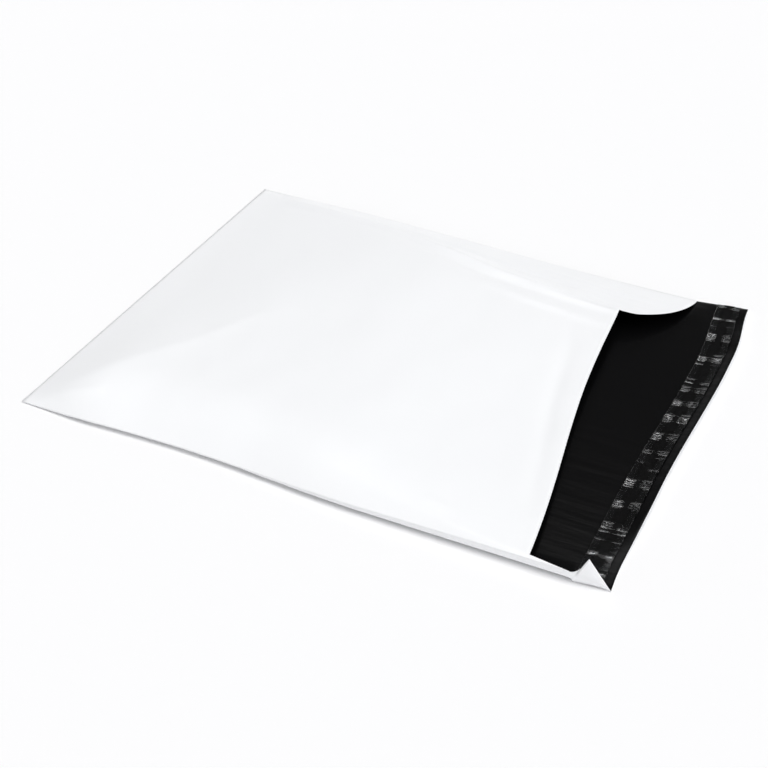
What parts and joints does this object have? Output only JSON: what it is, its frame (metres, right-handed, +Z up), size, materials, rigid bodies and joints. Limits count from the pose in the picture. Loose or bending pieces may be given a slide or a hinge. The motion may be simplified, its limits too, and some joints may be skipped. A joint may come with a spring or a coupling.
{
  "type": "poly mailer bag",
  "caption": "Open poly mailer bag, white outside and black inside, slightly puffed and lying flat, with a closing flap, an adhesive bead and a clear release liner.",
  "frame": {"origin": "middle of the bag's bounding box in plan, on the surface it lies on", "axes": "+X from the bottom fold to the flap's free edge, +Y from the near side weld to the far one, +Z up through the front panel"},
  "size_m": [0.421, 0.3552, 0.0213],
  "materials": {
    "white_film": "glossy co-extruded polyethylene film, white outside, black inside",
    "adhesive": "clear hot-melt pressure-sensitive adhesive over the black lining",
    "clear_liner": "clear crinkled polypropylene release liner"
  },
  "bodies": {
    "root": {"mailer_film": "white_film", "adhesive_strip": "adhesive", "release_liner": "clear_liner"}
  },
  "joints": []
}
